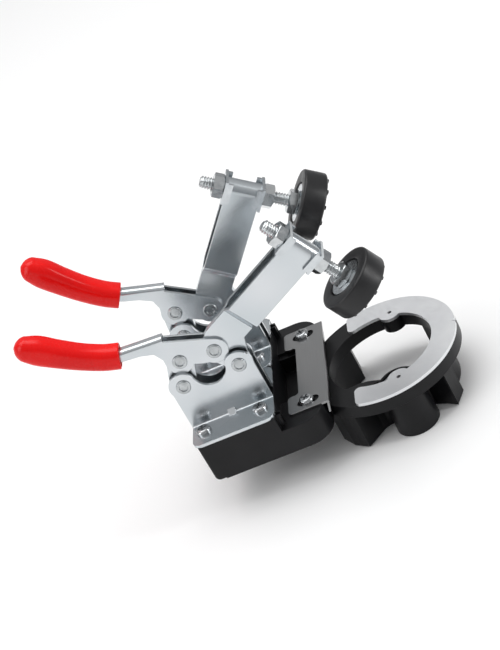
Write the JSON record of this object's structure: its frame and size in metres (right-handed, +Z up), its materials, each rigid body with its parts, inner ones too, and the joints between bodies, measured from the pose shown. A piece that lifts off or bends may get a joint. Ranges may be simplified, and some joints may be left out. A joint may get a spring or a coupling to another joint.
{
  "type": "toggle clamp drilling jig",
  "caption": "Clamp-on boring jig: black ring body with a horseshoe work plate, an adjustable steel edge fence and two toggle clamps with red grips and rubber pads",
  "frame": {"origin": "centre of the ring, on the top face of the work plate", "axes": "+X from the clamps towards the ring, +Y to the left clamp, +Z up out of the work plate"},
  "size_m": [0.1794, 0.08, 0.1324],
  "materials": {
    "black_casting": "semi-gloss black coating",
    "satin_aluminium": "satin anodised sheet",
    "turned_steel": "turned steel",
    "brushed_fence_steel": "brushed stainless sheet",
    "screw_steel": "nickel plated screws",
    "red_vinyl": "glossy dipped vinyl",
    "black_rubber": "moulded black rubber",
    "rivet_steel": "plated rivets",
    "fastener_zinc": "bright zinc plated thread and nuts",
    "washer_zinc": "bright zinc plated washers",
    "bright_zinc": "bright zinc plated pressed steel"
  },
  "bodies": {
    "base": {"body": "black_casting", "guide_bush": "turned_steel", "work_plate": "satin_aluminium", "fence_screws": "screw_steel", "right_base_right_sheet": "bright_zinc", "right_base_left_sheet": "bright_zinc", "right_base_screws": "screw_steel", "right_base_rivets": "rivet_steel", "left_base_right_sheet": "bright_zinc", "left_base_left_sheet": "bright_zinc", "left_base_screws": "screw_steel", "left_base_rivets": "rivet_steel"},
    "fence": {"fence_plate": "brushed_fence_steel"},
    "right_arm_body": {"right_arm": "bright_zinc"},
    "right_handle_body": {"right_handle": "bright_zinc", "right_grip": "red_vinyl", "right_handle_rivets": "rivet_steel"},
    "right_link_body": {"right_link": "bright_zinc"},
    "right_carriage": {"right_spindle_nuts": "fastener_zinc", "right_flanged_washers": "washer_zinc"},
    "right_spindle_body": {"right_spindle": "fastener_zinc", "right_pad_dish": "washer_zinc", "right_pad": "black_rubber"},
    "left_arm_body": {"left_arm": "bright_zinc"},
    "left_handle_body": {"left_handle": "bright_zinc", "left_grip": "red_vinyl", "left_handle_rivets": "rivet_steel"},
    "left_link_body": {"left_link": "bright_zinc"},
    "left_carriage": {"left_spindle_nuts": "fastener_zinc", "left_flanged_washers": "washer_zinc"},
    "left_spindle_body": {"left_spindle": "fastener_zinc", "left_pad_dish": "washer_zinc", "left_pad": "black_rubber"}
  },
  "joints": [
    {"name": "fence_slide", "type": "slide", "parent": "base", "child": "fence", "axis": [1, 0, 0], "range_m": [0, 0.0025]},
    {"name": "right_arm_hinge", "type": "hinge", "parent": "base", "child": "right_arm_body", "pos_m": [-0.05425, -0.0201, 0.0362], "axis": [0, -1, 0], "range_deg": [-28, 42]},
    {"name": "right_handle_hinge", "type": "hinge", "parent": "right_arm_body", "child": "right_handle_body", "pos_m": [-0.06132, -0.0201, 0.04669], "axis": [0, -1, 0], "range_deg": [-78.2, 52.3]},
    {"name": "right_link_hinge", "type": "hinge", "parent": "base", "child": "right_link_body", "pos_m": [-0.08165, -0.0201, 0.0362], "axis": [0, -1, 0], "range_deg": [-17.3, 25.7]},
    {"name": "right_reach_slide", "type": "slide", "parent": "right_arm_body", "child": "right_carriage", "axis": [0.8829, 0, 0.4695], "range_m": [-0.032, 0]},
    {"name": "right_height_slide", "type": "slide", "parent": "right_carriage", "child": "right_spindle_body", "axis": [-0.4695, 0, 0.8829], "range_m": [-0.005, 0.0065]},
    {"name": "left_arm_hinge", "type": "hinge", "parent": "base", "child": "left_arm_body", "pos_m": [-0.05425, 0.0201, 0.0362], "axis": [0, -1, 0], "range_deg": [-50, 20]},
    {"name": "left_handle_hinge", "type": "hinge", "parent": "left_arm_body", "child": "left_handle_body", "pos_m": [-0.06474, 0.0201, 0.04327], "axis": [0, -1, 0], "range_deg": [-38.1, 94.5]},
    {"name": "left_link_hinge", "type": "hinge", "parent": "base", "child": "left_link_body", "pos_m": [-0.08165, 0.0201, 0.0362], "axis": [0, -1, 0], "range_deg": [-35.5, 14.5]},
    {"name": "left_reach_slide", "type": "slide", "parent": "left_arm_body", "child": "left_carriage", "axis": [0.6428, 0, 0.766], "range_m": [-0.032, 0]},
    {"name": "left_height_slide", "type": "slide", "parent": "left_carriage", "child": "left_spindle_body", "axis": [-0.766, 0, 0.6428], "range_m": [-0.005, 0.0065]}
  ],
  "couplings": [
    {"joint": "right_handle_hinge", "follows": "right_arm_hinge", "ratio": -1.85},
    {"joint": "right_link_hinge", "follows": "right_arm_hinge", "ratio": 0.6},
    {"joint": "left_handle_hinge", "follows": "left_arm_hinge", "ratio": -1.88},
    {"joint": "left_link_hinge", "follows": "left_arm_hinge", "ratio": 0.7}
  ]
}
